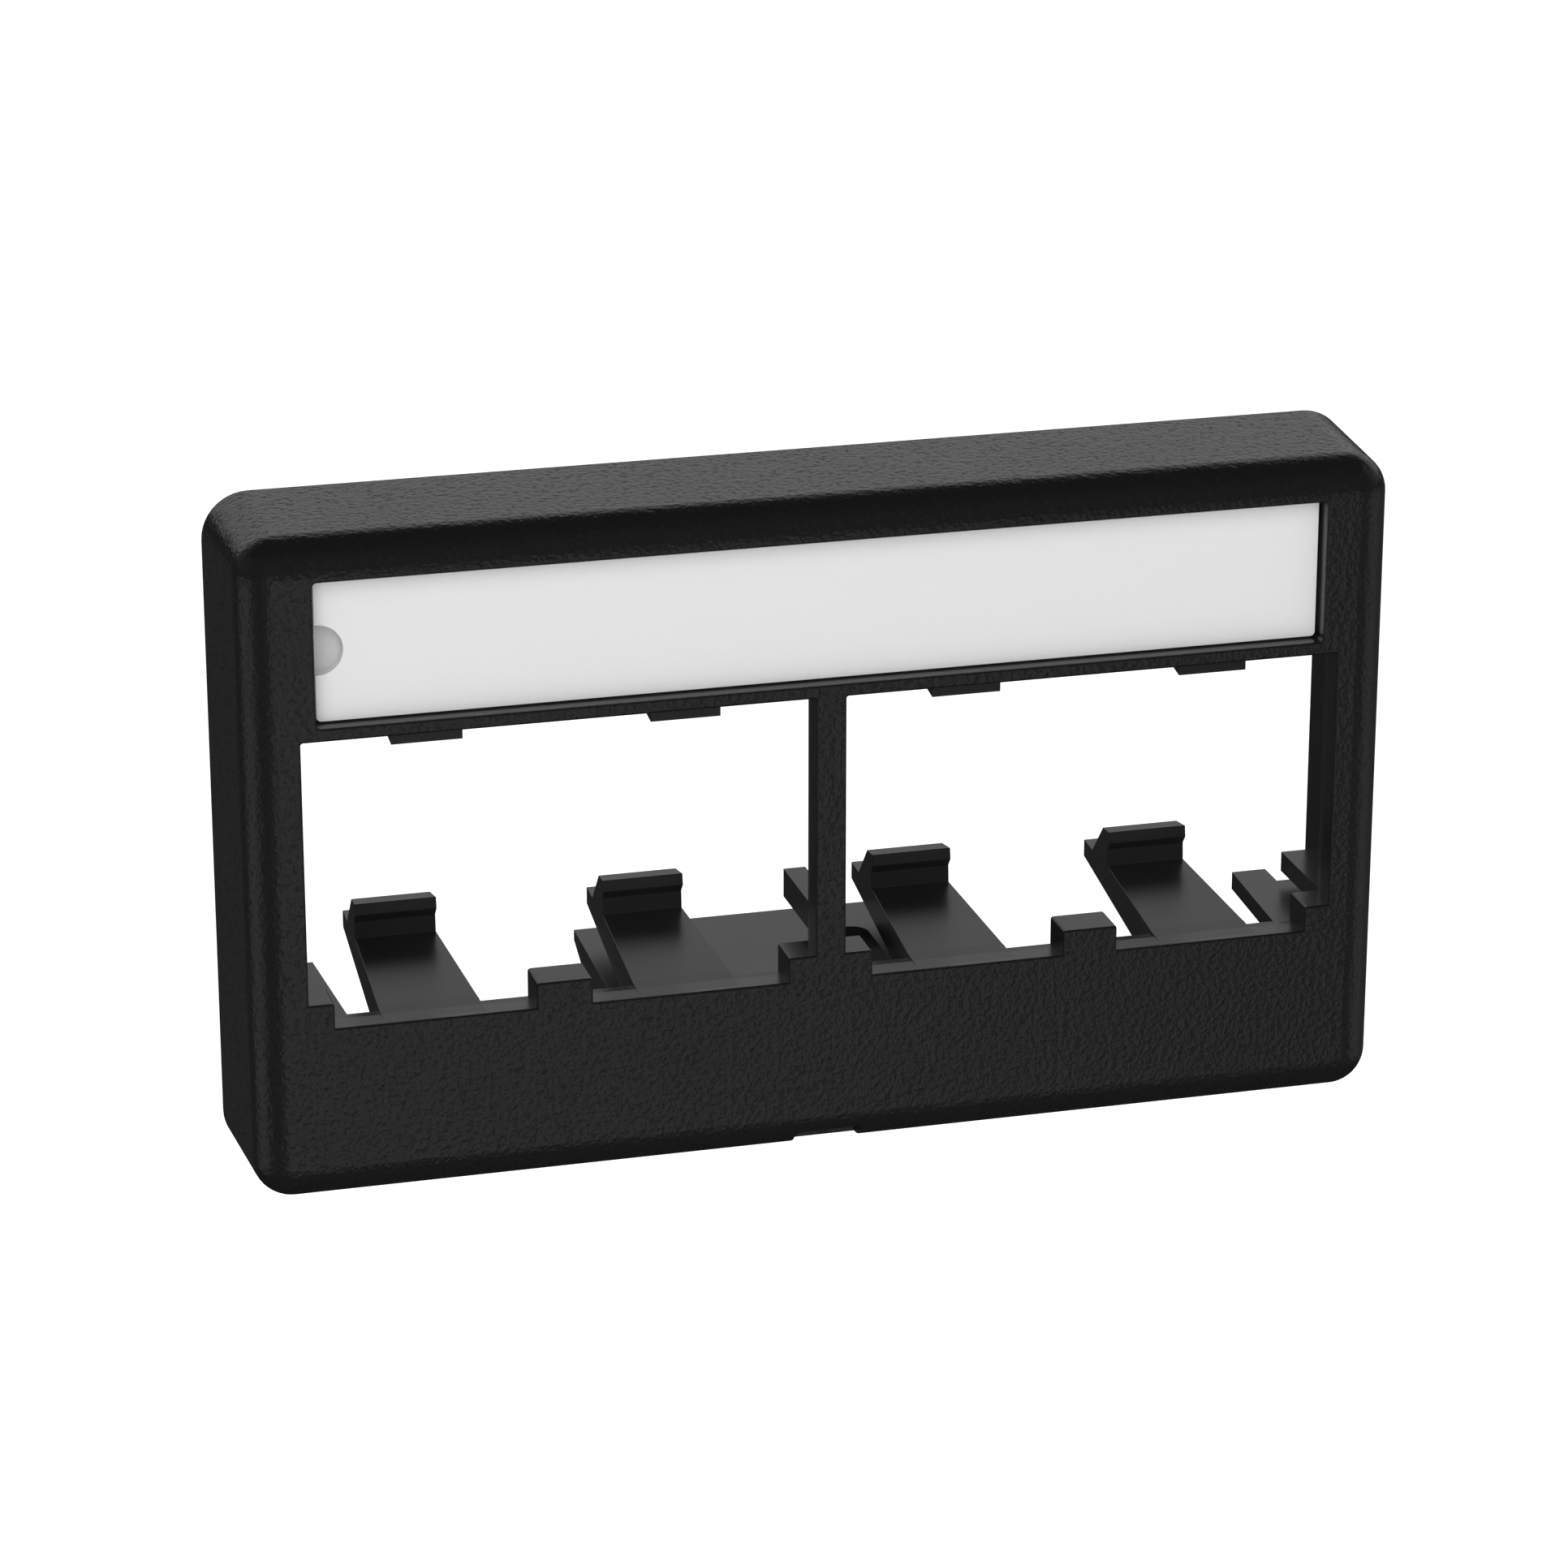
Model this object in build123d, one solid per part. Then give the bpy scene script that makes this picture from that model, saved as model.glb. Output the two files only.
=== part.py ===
"""Clip-in furniture faceplate for four data-jack modules, with a covered label window.

One black moulding carries its own springs: four hooked module latches and a wide
mounting latch flex at their roots, so each is a node of its own that meets the
bezel at a flat root face. A paper label and its clear cover drop into the window.

Frame: millimetres, +Z up, +X to the right seen from the front. The origin is the
centre of the panel cut-out, in the plane where the rear rim meets the panel. The
visible front faces -Y. Depths are counted backwards from the front face.
"""
from build123d import *
from math import radians, tan
import os

# ---- panel that the faceplate clips into
CUTOUT_H = 35.05
PANEL_T = 1.5
PANEL_CLEAR = 0.15

# ---- how far an added piece runs into the wall that it joins
BURY = 0.3

# ---- outer shell
FACE_W = 75.88
FACE_H = 44.18
BODY_D = 10.8
BODY_DRAFT = 3
CORNER_R = 2.5
FRONT_R = 2.4
HOLLOW_W = 73.5
HOLLOW_H = 41.5
HOLLOW_R = 1.4
FACE_T = 2.8
LIP_R = 0.16

# ---- module openings, measured from the centre
BAY_X = (9.35, 26.16)
OPEN_X = 34.4
MULLION_HALF = 1.02
OPEN_TOP = 9.15
LEDGE_Z = -10.18
STEP_Z = -8.48
MULLION_STEP_X = 2.83
TAB_STEP_X = (15.88, 19.6)
CORNER_STEP_X = 32.75
OPEN_CORNER_R = 0.15
STEP_CORNER_R = 0.2
LIP_DEPTH = 1.75
LIP_DRAFT = 2
REAR_DRAFT = 9

# ---- module guides behind the openings
RAIL_X = 34.6
RAIL_Z = (-9.6, -8.22)
RAIL_D = 9.7
DIVIDER_HALF = 0.75
DIVIDER_Z = (-7.72, -5.76)
DIVIDER_D = (2.2, 9.13)
FLOOR_Z = -10.36
FLOOR_T = 1.23
FLOOR_ROOT_X = 31.5
FLOOR_TIP_X = (32.0, 34.4)
FLOOR_TIP_D = 12.2
FLOOR_NOTCH_D = 9.85
TAB_HALF = 2.3
TAB_D = (1.19, 4.4)
TAB_FRONT_Z = 8.19
TAB_REAR_Z = 8.7
TAB_ROOT_Z = 9.95

# ---- label window
WINDOW_X = 33.36
WINDOW_Z = (10.04, 19.55)
COVER_D = 1.1
COVER_T = 0.8
LABEL_T = 0.22
SEAT_GAP = 0.02
COVER_END_GAP = 0.2
COVER_EDGE_GAP = 0.12
CARD_GAP = 0.05
FINGER_R = 1.65
FINGER_X = -33.0
FINGER_Z = 14.85
BACKING_T = 0.8
BACKING_EDGE = 1.0
SHELF_Z = (9.45, 10.9)
SHELF_END_X = 34.7
WINDOW_CORNER_R = 0.3
SHELF_D = 5.0

# ---- module latches
ROOT_GAP = 0.02
LATCH_ROOT_HALF = 3.3
LATCH_TIP_HALF = 2.42
LATCH_TIP_D = 19.65
LATCH_TOP_START = (1.8, -10.19)
LATCH_HOOK_FOOT = (13.54, -9.56)
LATCH_HOOK_NOSE = [(13.62, -8.4), (13.2, -7.82), (13.32, -7.04)]
LATCH_HOOK_BACK = [(14.91, -7.24), (17.48, -9.8)]
LATCH_TIP_Z = -9.84
LATCH_UNDER_ROOT_Z = -12.7
LATCH_UNDER_TIP_Z = -11.05
LATCH_PLAN_Z = (-14, -6)
PAD_FRONT_D = 0.3
PAD_FRONT_SINK = 0.01
PAD_DROP = 0.8

# ---- mounting latch
TONGUE_Z = -13.2
TONGUE_T = 1.7
TONGUE_D = 20.5
TONGUE_ROOT_HALF = 12.9
TONGUE_TIP_HALF = 12.5
TONGUE_TIP_T = 0.75
TONGUE_RAMP = 2.6
SLOT_X = (4.35, 6.85)
SLOT_D = (6.0, 16.2)
CATCH_HALF = 2.8
CATCH_X = 9.8
CATCH_BITE = 0.5
CATCH_D = (-0.2, 0.35, 0.95)

# ---- fixed hooks at the top
HOOK_X = 21.0
HOOK_HALF = 4.0
HOOK_T = 1.5
HOOK_BITE = 0.7
HOOK_LEN = 1.3
HOOK_PLAY = 0.25
HOOK_FOOT_H = 0.6
HOOK_FOOT_D = 2.0
HOOK_LEAD = (0.4, 0.2)

# ---- pry notch under the front edge
NOTCH_W = 4.6
NOTCH_H = 1.12
NOTCH_D = 2.44
NOTCH_R = 0.5

# ---- stiffening ribs in the lower hollow
RIB_X = (17.7, 31.0)
RIB_HALF = 0.5
RIB_D = 7.4
RIB_TOP_Z = -14.6
RIB_TOP_LEN = 0.8
RIB_TIP_H = 1.0

FRONT_Y = -BODY_D
TOP_SLOPE = (LATCH_HOOK_FOOT[1] - LATCH_TOP_START[1]) / (LATCH_HOOK_FOOT[0] - LATCH_TOP_START[0])


def block(x, depth, z):
    """Box between two x, two depths and two z."""
    size = (x[1] - x[0], depth[1] - depth[0], z[1] - z[0])
    middle = ((x[0] + x[1]) / 2, FRONT_Y + (depth[0] + depth[1]) / 2, (z[0] + z[1]) / 2)
    return Pos(*middle) * Box(*size)


def face_plane(depth):
    """Plane parallel to the front face, looking backwards into the part."""
    return Plane(origin=(0, FRONT_Y + depth, 0), x_dir=(-1, 0, 0), z_dir=(0, 1, 0))


def front_prism(sketch, start, length, taper=0):
    """Push a front outline backwards; its x is mirrored to suit the backward plane."""
    return extrude(face_plane(start) * mirror(sketch, Plane.YZ), amount=length, taper=taper)


def side_prism(points, x_middle, half):
    """Push a (depth, z) outline sideways, half each way about x_middle."""
    outline = make_face(Polyline(*[(FRONT_Y + d, z) for d, z in points], close=True))
    side = Plane(origin=(x_middle - half, 0, 0), x_dir=(0, 1, 0), z_dir=(1, 0, 0))
    return extrude(side * outline, amount=2 * half)


def plan_prism(points, z):
    """Push an (x, depth) outline upwards between two z."""
    outline = make_face(Polyline(*[(x, FRONT_Y + d) for x, d in points], close=True))
    return extrude(Plane.XY.offset(z[0]) * outline, amount=z[1] - z[0])


def latch_top_z(depth):
    """Height of a module latch's top surface at a depth in front of its hook."""
    return LATCH_TOP_START[1] + TOP_SLOPE * (depth - LATCH_TOP_START[0])


def both_sides(solid):
    """A solid and its mirror image about the middle."""
    return solid + mirror(solid, Plane.YZ)


def shell():
    """Rounded front wall and the four side walls, which spread towards the rear rim."""
    outline = RectangleRounded(FACE_W, FACE_H, CORNER_R)
    outer = front_prism(outline, 0, BODY_D, taper=-BODY_DRAFT)
    front_edges = outer.faces().sort_by(Axis.Y)[0].edges()
    outer = fillet(front_edges, FRONT_R)
    return outer - front_prism(RectangleRounded(HOLLOW_W, HOLLOW_H, HOLLOW_R), FACE_T, BODY_D)


def raised_step(x):
    """Raised step on the ledge, between two x, as deep as the front wall."""
    low = LEDGE_Z - BURY - STEP_CORNER_R
    outline = Pos((x[0] + x[1]) / 2, (low + STEP_Z) / 2) * Rectangle(x[1] - x[0], STEP_Z - low)
    outline = fillet(outline.vertices().group_by(Axis.Y)[-1], STEP_CORNER_R)
    return front_prism(outline, 0, FACE_T)


def opening_cut():
    """Right-hand opening for two modules: two drafts behind the lip, less the three steps."""
    width = OPEN_X - MULLION_HALF
    height = OPEN_TOP - LEDGE_Z
    middle = Pos((OPEN_X + MULLION_HALF) / 2, (OPEN_TOP + LEDGE_Z) / 2)
    lip = front_prism(middle * RectangleRounded(width, height, OPEN_CORNER_R), 0, LIP_DEPTH, taper=-LIP_DRAFT)
    rear_face = lip.faces().sort_by(Axis.Y)[-1]
    cut = lip + extrude(rear_face, amount=FACE_T - LIP_DEPTH, taper=-REAR_DRAFT)
    cut -= raised_step((MULLION_HALF - 2 * STEP_CORNER_R, MULLION_STEP_X))
    cut -= raised_step(TAB_STEP_X)
    return cut - raised_step((CORNER_STEP_X, OPEN_X + 2 * STEP_CORNER_R))


def window_outline(end_gap=0, edge_gap=0):
    """Label window outline, or the same drawn in by gaps at its ends and edges."""
    height = WINDOW_Z[1] - WINDOW_Z[0] - 2 * edge_gap
    plain = RectangleRounded(2 * (WINDOW_X - end_gap), height, WINDOW_CORNER_R)
    return Pos(0, (WINDOW_Z[0] + WINDOW_Z[1]) / 2) * plain


def label_floor_d():
    """Depth of the window's floor, where the label lies."""
    return COVER_D + COVER_T + LABEL_T + 2 * SEAT_GAP


def label_backing():
    """Thicker wall behind the label and the shelf above the openings."""
    half = WINDOW_X + BACKING_EDGE
    plate = block((-half, half), (FACE_T - BURY, FACE_T + BACKING_T), (SHELF_Z[0], WINDOW_Z[1] + BACKING_EDGE))
    shelf = block((-SHELF_END_X, SHELF_END_X), (FACE_T - BURY, SHELF_D), SHELF_Z)
    return plate + shelf


def pry_notch():
    """Notch for a screwdriver in the lower front edge."""
    outline = Pos(0, -FACE_H / 2) * RectangleRounded(NOTCH_W, 2 * NOTCH_H, NOTCH_R)
    return front_prism(outline, -1, NOTCH_D + 1)


def module_guides():
    """Right-hand rail and floor finger that line up the outer module."""
    outer_x = HOLLOW_W / 2 + BURY
    rail = block((RAIL_X, outer_x), (FACE_T - BURY, RAIL_D), RAIL_Z)
    finger = plan_prism(
        [
            (FLOOR_ROOT_X, FACE_T - BURY),
            (FLOOR_TIP_X[0], FLOOR_TIP_D),
            (FLOOR_TIP_X[1], FLOOR_TIP_D),
            (FLOOR_TIP_X[1], FLOOR_NOTCH_D),
            (outer_x, FLOOR_NOTCH_D),
            (outer_x, FACE_T - BURY),
        ],
        (FLOOR_Z - FLOOR_T, FLOOR_Z),
    )
    return rail + finger


def divider():
    """Bar behind the mullion that parts the two middle modules."""
    return block((-DIVIDER_HALF, DIVIDER_HALF), DIVIDER_D, DIVIDER_Z)


def top_tab(x_middle):
    """Wedge under the upper edge that a module's fixed lug hooks onto."""
    points = [
        (TAB_D[0], TAB_FRONT_Z),
        (TAB_D[1], TAB_REAR_Z),
        (TAB_D[1], TAB_ROOT_Z),
        (TAB_D[0], TAB_ROOT_Z),
    ]
    return side_prism(points, x_middle, TAB_HALF)


def latch_pad(x_middle):
    """Root of a module latch on the ledge: it runs level from the lip into the latch."""
    low_z = latch_top_z(LIP_DEPTH) - PAD_DROP
    ledge_z = LEDGE_Z - PAD_FRONT_D * tan(radians(LIP_DRAFT))
    points = [
        (PAD_FRONT_D, low_z),
        (PAD_FRONT_D, ledge_z - PAD_FRONT_SINK),
        (LIP_DEPTH, latch_top_z(LIP_DEPTH)),
        (FACE_T, latch_top_z(FACE_T)),
        (FACE_T, low_z),
    ]
    return side_prism(points, x_middle, LATCH_ROOT_HALF)


def top_hook(x_middle):
    """Fixed hook that goes behind the upper edge of the panel cut-out first."""
    top = CUTOUT_H / 2 - HOOK_PLAY
    bottom = top - HOOK_T
    crest = CUTOUT_H / 2 + HOOK_BITE
    root_d = FACE_T + BACKING_T
    catch_d = BODY_D + PANEL_T + PANEL_CLEAR
    points = [
        (root_d - BURY, bottom - HOOK_FOOT_H),
        (root_d - BURY, top),
        (catch_d, top),
        (catch_d, crest),
        (catch_d + HOOK_LEN - HOOK_LEAD[0], crest),
        (catch_d + HOOK_LEN, top - HOOK_LEAD[1]),
        (catch_d + HOOK_LEN, bottom),
        (root_d + HOOK_FOOT_D, bottom),
    ]
    return side_prism(points, x_middle, HOOK_HALF)


def lower_rib(x_middle):
    """Upright rib that ties the front wall to the bottom wall."""
    floor = -HOLLOW_H / 2
    points = [
        (FACE_T - BURY, floor - BURY),
        (FACE_T - BURY, RIB_TOP_Z),
        (FACE_T + RIB_TOP_LEN, RIB_TOP_Z),
        (RIB_D, floor + RIB_TIP_H),
        (RIB_D, floor - BURY),
    ]
    return side_prism(points, x_middle, RIB_HALF)


def bezel_frame():
    """The rigid part of the black moulding."""
    body = shell() + label_backing()
    body -= both_sides(opening_cut())
    body -= front_prism(window_outline(), 0, label_floor_d())
    body -= pry_notch()
    lips = [e for e in body.faces().sort_by(Axis.Y)[0].inner_wires().edges()]
    body = fillet(lips, LIP_R)
    right = module_guides() + top_hook(HOOK_X)
    for x_middle in BAY_X:
        right += top_tab(x_middle) + latch_pad(x_middle)
    for x_middle in RIB_X:
        right += lower_rib(x_middle)
    return body + both_sides(right) + divider()


def module_latch(x_middle):
    """Hooked cantilever under a module: tapered in plan and in thickness."""
    root_d = FACE_T + ROOT_GAP
    side = side_prism(
        [
            (root_d, latch_top_z(root_d)),
            LATCH_HOOK_FOOT,
            *LATCH_HOOK_NOSE,
            *LATCH_HOOK_BACK,
            (LATCH_TIP_D, LATCH_TIP_Z),
            (LATCH_TIP_D, LATCH_UNDER_TIP_Z),
            (root_d, LATCH_UNDER_ROOT_Z),
        ],
        0,
        LATCH_ROOT_HALF + 1,
    )
    plan = plan_prism(
        [
            (-LATCH_ROOT_HALF, root_d),
            (LATCH_ROOT_HALF, root_d),
            (LATCH_TIP_HALF, LATCH_TIP_D),
            (-LATCH_TIP_HALF, LATCH_TIP_D),
        ],
        LATCH_PLAN_Z,
    )
    return Pos(x_middle, 0, 0) * (side & plan)


def tongue_catch(x_middle):
    """Barb under the tongue: it springs out behind the lower edge of the cut-out."""
    under = TONGUE_Z - TONGUE_T
    crest = -CUTOUT_H / 2 - CATCH_BITE
    foot_d, crest_d, ramp_d = [BODY_D + PANEL_T + PANEL_CLEAR + d for d in CATCH_D]
    points = [
        (foot_d, under + BURY),
        (foot_d, under),
        (crest_d, crest),
        (ramp_d, crest),
        (TONGUE_D - TONGUE_RAMP, under),
        (TONGUE_D - TONGUE_RAMP, under + BURY),
    ]
    return side_prism(points, x_middle, CATCH_HALF)


def mounting_latch():
    """Wide spring tongue, slotted beside its middle, with two barbs below."""
    root_d = FACE_T + ROOT_GAP
    under = TONGUE_Z - TONGUE_T
    side = side_prism(
        [
            (root_d, TONGUE_Z),
            (TONGUE_D, TONGUE_Z),
            (TONGUE_D, TONGUE_Z - TONGUE_TIP_T),
            (TONGUE_D - TONGUE_RAMP, under),
            (root_d, under),
        ],
        0,
        TONGUE_ROOT_HALF + 1,
    )
    plan = plan_prism(
        [
            (-TONGUE_ROOT_HALF, root_d),
            (TONGUE_ROOT_HALF, root_d),
            (TONGUE_TIP_HALF, TONGUE_D),
            (-TONGUE_TIP_HALF, TONGUE_D),
        ],
        (under - 1, TONGUE_Z + 1),
    )
    slot_w = SLOT_X[1] - SLOT_X[0]
    slot_centre = (sum(SLOT_X) / 2, FRONT_Y + sum(SLOT_D) / 2)
    slot = Pos(*slot_centre) * SlotOverall(SLOT_D[1] - SLOT_D[0], slot_w, rotation=90)
    cut = extrude(Plane.XY.offset(under - 1) * slot, amount=TONGUE_T + 2)
    return (side & plan) - cut + tongue_catch(-CATCH_X) + tongue_catch(CATCH_X)


def label_cover():
    """Clear cover with a round finger notch at its left end."""
    outline = window_outline(COVER_END_GAP, COVER_EDGE_GAP)
    outline -= Pos(FINGER_X, FINGER_Z) * Circle(FINGER_R)
    return front_prism(outline, COVER_D, COVER_T)


def label_card():
    """Paper label behind the cover."""
    outline = window_outline(COVER_END_GAP + CARD_GAP, COVER_EDGE_GAP + CARD_GAP)
    return front_prism(outline, COVER_D + COVER_T + SEAT_GAP, LABEL_T)


def nodes():
    """Every node of the faceplate, by name."""
    parts = {"bezel_frame": bezel_frame(), "mounting_latch": mounting_latch()}
    middles = [-BAY_X[1], -BAY_X[0], BAY_X[0], BAY_X[1]]
    for number, x_middle in enumerate(middles, start=1):
        parts[f"module_latch_{number}"] = module_latch(x_middle)
    parts["label_cover"] = label_cover()
    parts["label_card"] = label_card()
    return parts


os.makedirs("parts", exist_ok=True)
for name, solid in nodes().items():
    export_step(solid, f"parts/{name}.step")
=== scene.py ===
"""Looks for the clip-in four-module furniture faceplate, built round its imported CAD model."""
import bmesh
import bpy
import math
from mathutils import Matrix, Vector


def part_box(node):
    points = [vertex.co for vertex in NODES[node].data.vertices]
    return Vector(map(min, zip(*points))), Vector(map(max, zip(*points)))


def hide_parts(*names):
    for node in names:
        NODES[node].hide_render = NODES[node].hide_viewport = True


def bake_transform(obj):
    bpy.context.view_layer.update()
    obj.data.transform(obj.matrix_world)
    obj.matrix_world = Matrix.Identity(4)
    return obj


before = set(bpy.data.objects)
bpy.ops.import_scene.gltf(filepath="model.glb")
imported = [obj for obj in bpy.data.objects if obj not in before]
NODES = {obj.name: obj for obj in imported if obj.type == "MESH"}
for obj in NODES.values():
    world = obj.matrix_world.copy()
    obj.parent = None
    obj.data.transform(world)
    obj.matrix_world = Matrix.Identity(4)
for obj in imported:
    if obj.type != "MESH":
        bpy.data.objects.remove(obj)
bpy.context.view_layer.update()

MM = 0.001
BEZEL_LOW, BEZEL_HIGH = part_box("bezel_frame")
FRONT_Y = BEZEL_LOW.y
LATCH_NAMES = [name for name in sorted(NODES) if name.startswith("module_latch_")]

# Black plastic: colour, roughness, and the heights of its surface effects.
BEZEL_BLACK = (0.008, 0.008, 0.008)
# The latch black is lighter than the bezel black of the same plastic: painted light, lifting the latches
# out of the shade round them.
LATCH_BLACK_WITH_PAINTED_LIGHT = (0.0155, 0.0155, 0.0155)
POLISHED_ROUGHNESS = 0.29
GRAIN_GLOSS = 0.05
CREASE_ROUGHNESS = 0.15
PEBBLES_PER_M = 2600.0
FINE_PEBBLES_PER_M = 6100.0
GRAIN_HEIGHT = 0.055 * MM
BEZEL_MARKS_SHARE = 0.04
LATCH_MARKS_HEIGHT = 0.0012 * MM

# Where the grain stops: the lip of the openings, and the skin of the front wall and the side walls.
LIP_GRAIN_END = (0.02 * MM, 0.2 * MM)
FRONT_WALL = 2.75 * MM
FRONT_SKIN = 3.0 * MM
SIDE_SKIN = 1.65 * MM

# Clear cover and label.
COVER_WHITE = (0.86, 0.86, 0.86)
COVER_HAZE = 0.18
COVER_COVERAGE = 0.8
COVER_MARKS_HEIGHT = 0.001 * MM
# Label tones: a random mottling, both set at a grey well below white paper as painted shade for where the
# label shows in the cover's notch.
LABEL_DARK = (0.49, 0.49, 0.485, 1)
LABEL_LIGHT = (0.55, 0.55, 0.55, 1)
FIBRE_HEIGHT = 0.006 * MM

# Latches: moulded edge radii, and how they are cut up to bend.
LATCH_EDGE_R = 0.05 * MM
TONGUE_EDGE_R = 0.06 * MM
ROOT_REACH = 0.05 * MM
ROOT_MARGIN = 0.01 * MM
SLICE = 1.0 * MM
WELD = 0.002 * MM
FLAT_DEG = 0.5
EDGE_DEG = 12
CREST_DEG = 40

# Camera, measured from the front face, and the floor below the faceplate.
CAMERA_AT = (-88.05 * MM, -313.80 * MM, 120.59 * MM)
CAMERA_LOOK = (0.24567, 0.90832, -0.33861)
CAMERA_LENS = 123.65
CAMERA_SENSOR = 36
FLOOR_DROP = 160 * MM
FLOOR_HALF = 8

# Soft fill lamps: name, degrees right of the front, degrees up, size and radiance.
FILL_DISTANCE = 1.2
FILLS = [
    ("front_fill", -15, 28, 1.4, 2.5),
    ("right_fill", 75, 25, 1.0, 0.4),
]

# Heights of the studio's low and high light rings: fade in, then fade out, as sines of elevation.
LOW_RING_SPAN = (-0.6, -0.46, -0.16, -0.06)
HIGH_RING_SPAN = (0.04, 0.14, 0.54, 0.76)
AMBIENT = 0.02

# Radiance of those rings against degrees right of the front.
LOW_RING = [
    (-180, 0.01),
    (-169, 0.01),
    (-159, 0.06),
    (-150, 0.02),
    (-118, 0.03),
    (-100, 0.42),
    (-74, 0.42),
    (-58, 0.04),
    (-20, 0.04),
    (-8, 0.48),
    (17, 0.48),
    (25, 0.05),
    (44, 0.05),
    (58, 0.36),
    (80, 0.3),
    (100, 0.12),
    (115, 0.05),
    (180, 0.05),
]
HIGH_RING = [
    (-180, 0.62),
    (-158, 0.62),
    (-146, 0.12),
    (-95, 0.1),
    (-60, 0.02),
    (60, 0.02),
    (95, 0.3),
    (125, 0.62),
    (180, 0.62),
]


# ---------------------------------------------------------------- node helpers
def new_tree_node(tree, kind, **values):
    """A node of one kind; values set its properties, or its inputs by name."""
    node = tree.nodes.new(kind)
    for key, value in values.items():
        if hasattr(node, key):
            setattr(node, key, value)
        else:
            node.inputs[key.replace("_", " ")].default_value = value
    return node


def math_node(tree, operation, first, second=None, clamp=False):
    """Arithmetic on sockets or plain numbers; returns the result socket."""
    node = tree.nodes.new("ShaderNodeMath")
    node.operation = operation
    node.use_clamp = clamp
    for socket, value in zip(node.inputs, (first, second)):
        if value is None:
            continue
        if isinstance(value, bpy.types.NodeSocket):
            tree.links.new(value, socket)
        else:
            socket.default_value = value
    return node.outputs[0]


def ramp_value(tree, value, low, high, out_low=0.0, out_high=1.0):
    """Smooth step of a socket from one range to another."""
    node = tree.nodes.new("ShaderNodeMapRange")
    node.interpolation_type = "SMOOTHSTEP"
    tree.links.new(value, node.inputs["Value"])
    for key, number in (("From Min", low), ("From Max", high), ("To Min", out_low), ("To Max", out_high)):
        node.inputs[key].default_value = number
    return node.outputs["Result"]


def shader_group(name, inputs, outputs):
    """Empty shader node group with named float inputs and typed outputs."""
    group = bpy.data.node_groups.new(name, "ShaderNodeTree")
    for label, default in inputs.items():
        socket = group.interface.new_socket(label, in_out="INPUT", socket_type="NodeSocketFloat")
        socket.default_value = default
    for label in outputs:
        group.interface.new_socket(label, in_out="OUTPUT", socket_type="NodeSocketFloat")
    return group, group.nodes.new("NodeGroupInput"), group.nodes.new("NodeGroupOutput")


# ---------------------------------------------------------------- shared surface effects
def moulding_marks_group():
    """Faint flow and tool marks of a smooth moulded face: a height and a roughness shift."""
    group, given, result = shader_group(
        "Moulding marks", {"Size": 900.0, "Gloss shift": 0.06}, ["Height", "Roughness shift"]
    )
    place = group.nodes.new("ShaderNodeTexCoord").outputs["Object"]
    fine = new_tree_node(group, "ShaderNodeTexNoise", Detail=4.0, Roughness=0.6)
    broad = new_tree_node(group, "ShaderNodeTexNoise", Scale=160.0, Detail=2.0)
    for texture in (fine, broad):
        group.links.new(place, texture.inputs["Vector"])
    group.links.new(given.outputs["Size"], fine.inputs["Scale"])
    fine_part = math_node(group, "MULTIPLY", fine.outputs["Fac"], 0.6)
    height = math_node(group, "ADD", fine_part, broad.outputs["Fac"])
    centred = math_node(group, "SUBTRACT", broad.outputs["Fac"], 0.5)
    shift = math_node(group, "MULTIPLY", centred, given.outputs["Gloss shift"])
    group.links.new(height, result.inputs["Height"])
    group.links.new(shift, result.inputs["Roughness shift"])
    return group


def leather_grain_group():
    """Moulded leather grain: soft uneven pebbles with short low valleys between them."""
    group, given, result = shader_group(
        "Leather grain", {"Pebbles per metre": PEBBLES_PER_M, "Fine share": 0.25}, ["Height", "Crease"]
    )
    place = group.nodes.new("ShaderNodeTexCoord").outputs["Object"]
    pebbles = new_tree_node(group, "ShaderNodeTexNoise", Detail=1.0, Roughness=0.5)
    fine = new_tree_node(group, "ShaderNodeTexNoise", Scale=FINE_PEBBLES_PER_M, Detail=0.0)
    for texture in (pebbles, fine):
        group.links.new(place, texture.inputs["Vector"])
    group.links.new(given.outputs["Pebbles per metre"], pebbles.inputs["Scale"])
    fine_part = math_node(group, "MULTIPLY", fine.outputs["Fac"], given.outputs["Fine share"])
    height = math_node(group, "ADD", pebbles.outputs["Fac"], fine_part)
    crease = ramp_value(group, pebbles.outputs["Fac"], 0.3, 0.44, 1.0, 0.0)
    group.links.new(height, result.inputs["Height"])
    group.links.new(crease, result.inputs["Crease"])
    return group


def place_group(tree, group, **values):
    """Puts a shared group into a material with its own values."""
    node = tree.nodes.new("ShaderNodeGroup")
    node.node_tree = group
    for key, value in values.items():
        node.inputs[key.replace("_", " ")].default_value = value
    return node


# ---------------------------------------------------------------- materials
def principled(name, colour, roughness, **sockets):
    """Material with a Principled BSDF; plain values sit on its own sockets."""
    material = bpy.data.materials.new(name)
    material.use_nodes = True
    shader = material.node_tree.nodes["Principled BSDF"]
    shader.inputs["Base Color"].default_value = (*colour, 1.0)
    shader.inputs["Roughness"].default_value = roughness
    for key, value in sockets.items():
        shader.inputs[key.replace("_", " ")].default_value = value
    return material, material.node_tree, shader


def add_bump(tree, shader, height, distance):
    """Feeds a height socket to the shader's normal."""
    bump = tree.nodes.new("ShaderNodeBump")
    bump.inputs["Strength"].default_value = 1.0
    bump.inputs["Distance"].default_value = distance
    tree.links.new(height, bump.inputs["Height"])
    tree.links.new(bump.outputs["Normal"], shader.inputs["Normal"])


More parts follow.
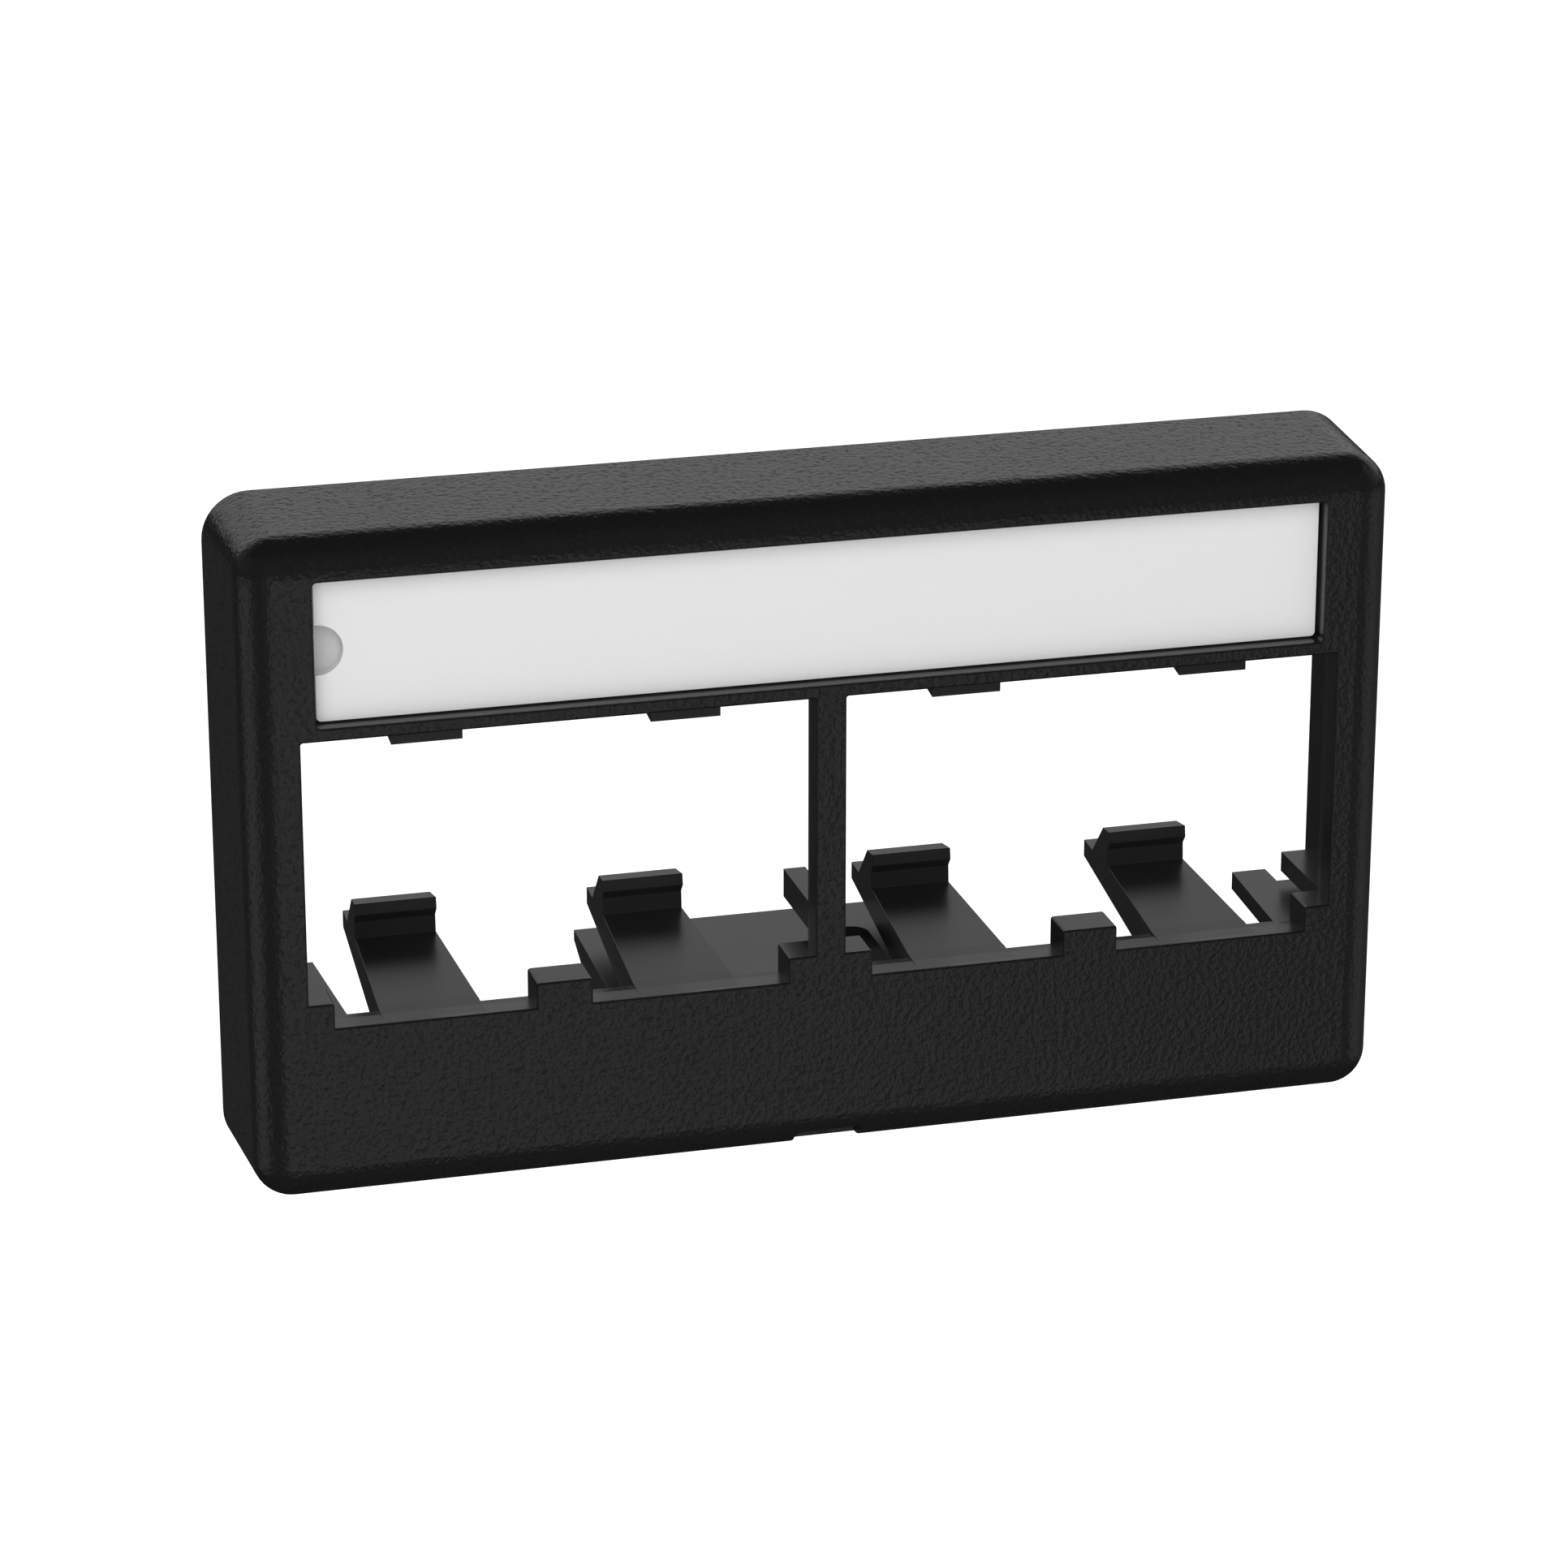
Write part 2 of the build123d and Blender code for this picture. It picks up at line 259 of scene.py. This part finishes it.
def outside_mask(tree):
    """1 on the bezel's outer faces, 0 inside the openings and the rear hollow."""
    place = tree.nodes.new("ShaderNodeTexCoord").outputs["Object"]
    normal = tree.nodes.new("ShaderNodeNewGeometry").outputs["True Normal"]
    at = tree.nodes.new("ShaderNodeSeparateXYZ")
    way = tree.nodes.new("ShaderNodeSeparateXYZ")
    tree.links.new(place, at.inputs[0])
    tree.links.new(normal, way.inputs[0])
    full_until, none_from = (FRONT_Y + depth for depth in LIP_GRAIN_END)
    front = ramp_value(tree, at.outputs["Y"], full_until, none_from, 1.0, 0.0)
    behind_face = math_node(tree, "GREATER_THAN", at.outputs["Y"], FRONT_Y + FRONT_WALL)
    thinner = math_node(tree, "MULTIPLY", behind_face, FRONT_SKIN - SIDE_SKIN)
    sides = []
    for axis, half in (("X", BEZEL_HIGH.x), ("Z", BEZEL_HIGH.z)):
        reach = math_node(tree, "SUBTRACT", math_node(tree, "ABSOLUTE", at.outputs[axis]), thinner)
        near = math_node(tree, "GREATER_THAN", reach, half - FRONT_SKIN)
        facing = math_node(tree, "MULTIPLY", at.outputs[axis], way.outputs[axis])
        outward = math_node(tree, "GREATER_THAN", facing, -0.001)
        sides.append(math_node(tree, "MULTIPLY", near, outward))
    rear = math_node(tree, "LESS_THAN", way.outputs["Y"], 0.5)
    either = math_node(tree, "MAXIMUM", sides[0], sides[1])
    outer = math_node(tree, "MULTIPLY", either, rear)
    return math_node(tree, "MAXIMUM", outer, front)


def grained_black(grain, marks):
    """Black ABS of the bezel: leather grain outside, smooth where the tool has no grain."""
    material, tree, shader = principled("grained_black_abs", BEZEL_BLACK, 0.24)
    mask = outside_mask(tree)
    leather = place_group(tree, grain)
    smooth = place_group(tree, marks)
    coarse = math_node(tree, "MULTIPLY", leather.outputs["Height"], mask)
    fine = math_node(tree, "MULTIPLY", smooth.outputs["Height"], BEZEL_MARKS_SHARE)
    add_bump(tree, shader, math_node(tree, "ADD", coarse, fine), GRAIN_HEIGHT)
    glossier = math_node(tree, "MULTIPLY", mask, GRAIN_GLOSS)
    moulded = math_node(tree, "SUBTRACT", POLISHED_ROUGHNESS, glossier)
    base = math_node(tree, "ADD", smooth.outputs["Roughness shift"], moulded)
    crease = math_node(tree, "MULTIPLY", leather.outputs["Crease"], mask)
    creased = math_node(tree, "MULTIPLY", crease, CREASE_ROUGHNESS)
    tree.links.new(math_node(tree, "ADD", base, creased), shader.inputs["Roughness"])
    return material


def smooth_black_with_painted_light(marks):
    """Black ABS of the latches: the same plastic straight off a polished tool, in a lighter black that is
    painted light against the shade round the latches.
    """
    material, tree, shader = principled("smooth_black_abs_with_painted_light", LATCH_BLACK_WITH_PAINTED_LIGHT, POLISHED_ROUGHNESS)
    surface = place_group(tree, marks, Size=1400.0, Gloss_shift=0.08)
    add_bump(tree, shader, surface.outputs["Height"], LATCH_MARKS_HEIGHT)
    rough = math_node(tree, "ADD", surface.outputs["Roughness shift"], POLISHED_ROUGHNESS)
    tree.links.new(rough, shader.inputs["Roughness"])
    return material


def clear_cover_material(marks):
    """Clear cover with a faint milky haze, so the label behind it looks whiter."""
    material, tree, shader = principled("clear_cover_polycarbonate", COVER_WHITE, 0.2, IOR=1.58)
    surface = place_group(tree, marks, Size=500.0, Gloss_shift=0.05)
    add_bump(tree, shader, surface.outputs["Height"], COVER_MARKS_HEIGHT)
    haze = math_node(tree, "ADD", surface.outputs["Roughness shift"], COVER_HAZE)
    tree.links.new(haze, shader.inputs["Roughness"])
    shader.inputs["Alpha"].default_value = COVER_COVERAGE
    return material


def label_paper():
    """Uncoated label stock: short fibres and slight mottling, in a grey well below white paper that is
    painted shade for where it shows in the cover's notch.
    """
    material, tree, shader = principled("label_stock", LABEL_LIGHT[:3], 0.85)
    place = tree.nodes.new("ShaderNodeTexCoord").outputs["Object"]
    fibres = new_tree_node(tree, "ShaderNodeTexNoise", Scale=5200.0, Detail=6.0, Roughness=0.7)
    mottle = new_tree_node(tree, "ShaderNodeTexNoise", Scale=350.0, Detail=3.0)
    for texture in (fibres, mottle):
        tree.links.new(place, texture.inputs["Vector"])
    fibre_part = math_node(tree, "MULTIPLY", fibres.outputs["Fac"], 0.5)
    tone = math_node(tree, "ADD", fibre_part, mottle.outputs["Fac"])
    colours = tree.nodes.new("ShaderNodeValToRGB")
    colours.color_ramp.elements[0].position = 0.45
    colours.color_ramp.elements[0].color = LABEL_DARK
    colours.color_ramp.elements[1].position = 1.0
    colours.color_ramp.elements[1].color = LABEL_LIGHT
    tree.links.new(tone, colours.inputs["Fac"])
    tree.links.new(colours.outputs["Color"], shader.inputs["Base Color"])
    add_bump(tree, shader, fibres.outputs["Fac"], FIBRE_HEIGHT)
    return material


def floor_material():
    """Pale matt floor that stays almost white under the soft light."""
    material, tree, shader = principled("pale_floor", (0.9, 0.9, 0.9), 0.9)
    shader.inputs["Emission Color"].default_value = (1, 1, 1, 1)
    seen = tree.nodes.new("ShaderNodeLightPath").outputs["Is Camera Ray"]
    glow = math_node(tree, "ADD", math_node(tree, "MULTIPLY", seen, 0.7), 0.25)
    tree.links.new(glow, shader.inputs["Emission Strength"])
    return material


def dress(piece, material):
    """Gives a piece one material."""
    piece.data.materials.clear()
    piece.data.materials.append(material)
    return piece


# ---------------------------------------------------------------- latches
def softened_copy(node, name, edge_radius):
    """Copy of a CAD node with merged faces and small moulded radii on its sharp edges."""
    mesh = NODES[node].data.copy()
    mesh.name = name
    form = bmesh.new()
    form.from_mesh(mesh)
    bmesh.ops.remove_doubles(form, verts=form.verts, dist=WELD)
    bmesh.ops.dissolve_limit(form, angle_limit=math.radians(FLAT_DEG), verts=form.verts, edges=form.edges)
    root_y = min(v.co.y for v in form.verts)
    sharp = [
        e
        for e in form.edges
        if e.is_manifold
        and e.calc_face_angle() > math.radians(EDGE_DEG)
        and max(v.co.y for v in e.verts) > root_y + ROOT_MARGIN
    ]
    bmesh.ops.bevel(
        form, geom=sharp, offset=edge_radius, segments=3, profile=0.5, affect="EDGES", clamp_overlap=True
    )
    form.to_mesh(mesh)
    form.free()
    piece = bpy.data.objects.new(name, mesh)
    bpy.context.scene.collection.objects.link(piece)
    return piece


def bury_root(piece, reach):
    """Runs the root face on into the bezel, so that latch and ledge read as one moulding."""
    root_y = min(v.co.y for v in piece.data.vertices)
    for vertex in piece.data.vertices:
        if vertex.co.y < root_y + reach / 10:
            vertex.co.y -= reach


def slice_along_y(piece, spacing):
    """Cuts a piece across at even steps, so that it can bend smoothly."""
    form = bmesh.new()
    form.from_mesh(piece.data)
    low = min(v.co.y for v in form.verts)
    high = max(v.co.y for v in form.verts)
    for step in range(1, int((high - low) / spacing)):
        everything = form.verts[:] + form.edges[:] + form.faces[:]
        cut = (0, low + step * spacing, 0)
        bmesh.ops.bisect_plane(form, geom=everything, plane_co=cut, plane_no=(0, 1, 0))
    form.to_mesh(piece.data)
    form.free()


def shade_by_angle(piece, degrees):
    """Smooth shading that stays sharp at real corners."""
    piece.data.shade_smooth()
    piece.data.set_sharp_from_angle(angle=math.radians(degrees))
    even = piece.modifiers.new("even_normals", "WEIGHTED_NORMAL")
    even.keep_sharp = True


def spring_tongue(node, name, material, edge_radius):
    """A latch, which flexes like a cantilever from its root in the bezel: a softened copy with its root
    run into the bezel and its length cut across at even steps.
    """
    piece = softened_copy(node, name, edge_radius)
    bury_root(piece, ROOT_REACH)
    slice_along_y(piece, SLICE)
    shade_by_angle(piece, CREST_DEG)
    dress(piece, material)
    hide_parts(node)
    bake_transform(piece)


# ---------------------------------------------------------------- studio
def make_camera():
    """Camera above and to the left of the faceplate, looking back at it."""
    data = bpy.data.cameras.new("view_camera")
    data.lens = CAMERA_LENS
    data.sensor_width = CAMERA_SENSOR
    data.clip_start = 0.01
    camera = bpy.data.objects.new("view_camera", data)
    camera.location = (CAMERA_AT[0], FRONT_Y + CAMERA_AT[1], CAMERA_AT[2])
    looking = Vector(CAMERA_LOOK)
    camera.rotation_mode = "QUATERNION"
    camera.rotation_quaternion = looking.to_track_quat("-Z", "Y")
    bpy.context.scene.collection.objects.link(camera)
    bpy.context.scene.camera = camera


def make_floor():
    """Large pale floor below the faceplate, which a panel holds up in use."""
    form = bmesh.new()
    bmesh.ops.create_grid(form, x_segments=1, y_segments=1, size=FLOOR_HALF)
    mesh = bpy.data.meshes.new("floor")
    form.to_mesh(mesh)
    form.free()
    floor = bpy.data.objects.new("floor", mesh)
    floor.location = (0, 0, BEZEL_LOW.z - FLOOR_DROP)
    bpy.context.scene.collection.objects.link(floor)
    dress(floor, floor_material())
    floor.visible_glossy = False


def make_fill(name, azimuth, elevation, size, radiance):
    """Square area light aimed at the faceplate, which shows in no reflection."""
    data = bpy.data.lights.new(name, "AREA")
    data.shape = "SQUARE"
    data.size = size
    data.energy = radiance * math.pi * size * size
    lamp = bpy.data.objects.new(name, data)
    turn = math.radians(azimuth)
    rise = math.radians(elevation)
    away = Vector((math.sin(turn) * math.cos(rise), -math.cos(turn) * math.cos(rise), math.sin(rise)))
    lamp.location = away * FILL_DISTANCE
    lamp.rotation_mode = "QUATERNION"
    lamp.rotation_quaternion = (-away).to_track_quat("-Z", "Y")
    lamp.visible_camera = False
    lamp.visible_glossy = False
    bpy.context.scene.collection.objects.link(lamp)


def azimuth_ramp(tree, azimuth, stops):
    """Brightness round the horizon; stops are (degrees right of the front, radiance)."""
    ramp = tree.nodes.new("ShaderNodeValToRGB")
    elements = ramp.color_ramp.elements
    while len(elements) < len(stops):
        elements.new(0.5)
    for element, (degrees, radiance) in zip(elements, stops):
        element.position = degrees / 360 + 0.5
        element.color = (radiance, radiance, radiance, 1)
    tree.links.new(azimuth, ramp.inputs["Fac"])
    return ramp.outputs["Color"]


def light_ring(tree, height, azimuth, span, stops):
    """Soft band of light round the studio: its span in height, and its radiance against azimuth."""
    fade_in = ramp_value(tree, height, span[0], span[1])
    fade_out = ramp_value(tree, height, span[2], span[3], 1.0, 0.0)
    band = math_node(tree, "MULTIPLY", fade_in, fade_out)
    return math_node(tree, "MULTIPLY", band, azimuth_ramp(tree, azimuth, stops))


def make_world():
    """White to the camera; to the plastic, a low and a high ring of soft light."""
    world = bpy.data.worlds.new("studio_sweep")
    world.use_nodes = True
    bpy.context.scene.world = world
    tree = world.node_tree
    background = tree.nodes["Background"]
    background.inputs["Color"].default_value = (1, 1, 1, 1)
    way = tree.nodes.new("ShaderNodeSeparateXYZ")
    tree.links.new(tree.nodes.new("ShaderNodeTexCoord").outputs["Generated"], way.inputs[0])
    ahead = math_node(tree, "MULTIPLY", way.outputs["Y"], -1.0)
    turn = math_node(tree, "DIVIDE", math_node(tree, "ARCTAN2", way.outputs["X"], ahead), 2 * math.pi)
    azimuth = math_node(tree, "ADD", turn, 0.5)
    low = light_ring(tree, way.outputs["Z"], azimuth, LOW_RING_SPAN, LOW_RING)
    high = light_ring(tree, way.outputs["Z"], azimuth, HIGH_RING_SPAN, HIGH_RING)
    light = math_node(tree, "ADD", math_node(tree, "ADD", low, high), AMBIENT)
    seen = tree.nodes.new("ShaderNodeLightPath").outputs["Is Camera Ray"]
    tree.links.new(math_node(tree, "MAXIMUM", light, seen), background.inputs["Strength"])


# ---------------------------------------------------------------- the faceplate
make_camera()
make_world()
make_floor()
for name, azimuth, elevation, size, radiance in FILLS:
    make_fill(name, azimuth, elevation, size, radiance)

MARKS = moulding_marks_group()
GRAIN = leather_grain_group()
# The latches' material carries the lighter black, painted light against the shade round them.
SMOOTH_BLACK_WITH_PAINTED_LIGHT = smooth_black_with_painted_light(MARKS)

dress(NODES["bezel_frame"], grained_black(GRAIN, MARKS))
dress(NODES["label_card"], label_paper())
dress(NODES["label_cover"], clear_cover_material(MARKS))

for latch in LATCH_NAMES:
    number = latch.rsplit("_", 1)[1]
    spring_tongue(latch, f"latch_spring_{number}", SMOOTH_BLACK_WITH_PAINTED_LIGHT, LATCH_EDGE_R)
spring_tongue("mounting_latch", "mounting_spring", SMOOTH_BLACK_WITH_PAINTED_LIGHT, TONGUE_EDGE_R)

bpy.context.scene.view_settings.view_transform = "Standard"
